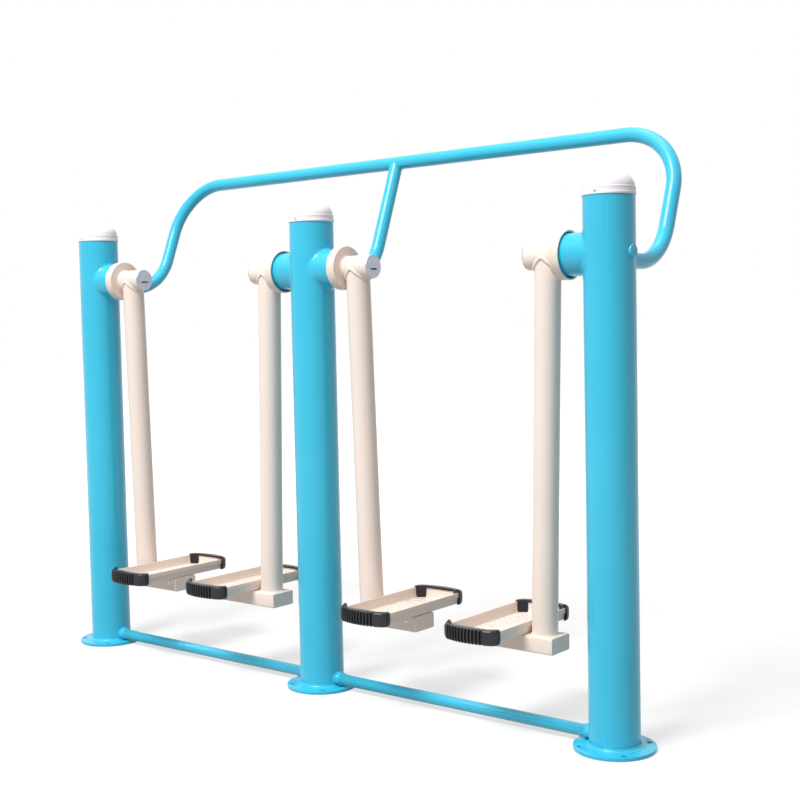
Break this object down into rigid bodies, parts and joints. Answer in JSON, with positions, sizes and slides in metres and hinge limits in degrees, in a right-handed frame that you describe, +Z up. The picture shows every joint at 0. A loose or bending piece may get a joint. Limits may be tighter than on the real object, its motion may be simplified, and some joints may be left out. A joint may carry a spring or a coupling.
{
  "type": "outdoor air walker",
  "caption": "Outdoor air walker with places side by side: posts on base flanges carry a bent handrail and swinging pendulum arms with foot pedals.",
  "frame": {"origin": "centre of the middle base flange's underside, on the ground", "axes": "+X along the row of posts, +Y the way the users face, towards the handrail's top run, +Z up"},
  "size_m": [1.924, 0.5506, 1.41],
  "materials": {
    "blue_paint": "glossy powder coat",
    "cream_paint": "glossy powder coat",
    "white_plastic": "satin moulded plastic",
    "black_rubber": "moulded rubber",
    "grey_metal": "pressed, satin",
    "zinc_steel": "zinc plated",
    "bearing_steel": "ground",
    "dark_steel": "turned, oiled"
  },
  "bodies": {
    "frame": {"left_post": "blue_paint", "left_base_flange": "blue_paint", "left_cap": "white_plastic", "left_axle": "dark_steel", "middle_post": "blue_paint", "middle_base_flange": "blue_paint", "middle_cap": "white_plastic", "middle_axle": "dark_steel", "right_post": "blue_paint", "right_base_flange": "blue_paint", "right_cap": "white_plastic", "right_axle": "dark_steel", "left_outer_stub": "blue_paint", "left_inner_stub": "blue_paint", "right_inner_stub": "blue_paint", "right_outer_stub": "blue_paint", "cap_screws": "zinc_steel", "handrail": "blue_paint", "handrail_strut": "blue_paint", "tie_bars": "blue_paint", "bearing_inner_rings": "bearing_steel", "bearing_collars": "zinc_steel", "axle_nuts": "zinc_steel", "stop_buffers": "black_rubber"},
    "left_outer_arm": {"left_outer_sleeve": "cream_paint", "left_outer_bearings": "bearing_steel", "left_outer_end_cap": "grey_metal", "left_outer_tube": "cream_paint", "left_outer_foot_beam": "cream_paint", "left_outer_pedal": "cream_paint", "left_outer_pedal_bolts": "zinc_steel", "left_outer_heel_bumper": "black_rubber", "left_outer_toe_bumper": "black_rubber"},
    "left_inner_arm": {"left_inner_sleeve": "cream_paint", "left_inner_bearings": "bearing_steel", "left_inner_end_cap": "grey_metal", "left_inner_tube": "cream_paint", "left_inner_foot_beam": "cream_paint", "left_inner_pedal": "cream_paint", "left_inner_pedal_bolts": "zinc_steel", "left_inner_heel_bumper": "black_rubber", "left_inner_toe_bumper": "black_rubber"},
    "right_inner_arm": {"right_inner_sleeve": "cream_paint", "right_inner_bearings": "bearing_steel", "right_inner_end_cap": "grey_metal", "right_inner_tube": "cream_paint", "right_inner_foot_beam": "cream_paint", "right_inner_pedal": "cream_paint", "right_inner_pedal_bolts": "zinc_steel", "right_inner_heel_bumper": "black_rubber", "right_inner_toe_bumper": "black_rubber"},
    "right_outer_arm": {"right_outer_sleeve": "cream_paint", "right_outer_bearings": "bearing_steel", "right_outer_end_cap": "grey_metal", "right_outer_tube": "cream_paint", "right_outer_foot_beam": "cream_paint", "right_outer_pedal": "cream_paint", "right_outer_pedal_bolts": "zinc_steel", "right_outer_heel_bumper": "black_rubber", "right_outer_toe_bumper": "black_rubber"}
  },
  "joints": [
    {"name": "left_outer_swing", "type": "hinge", "parent": "frame", "child": "left_outer_arm", "pos_m": [-0.715, 0, 1.088], "axis": [1, 0, 0], "range_deg": [-40, 40]},
    {"name": "left_inner_swing", "type": "hinge", "parent": "frame", "child": "left_inner_arm", "pos_m": [-0.155, 0, 1.088], "axis": [1, 0, 0], "range_deg": [-40, 40]},
    {"name": "right_inner_swing", "type": "hinge", "parent": "frame", "child": "right_inner_arm", "pos_m": [0.155, 0, 1.088], "axis": [1, 0, 0], "range_deg": [-40, 40]},
    {"name": "right_outer_swing", "type": "hinge", "parent": "frame", "child": "right_outer_arm", "pos_m": [0.715, 0, 1.088], "axis": [1, 0, 0], "range_deg": [-40, 40]}
  ]
}
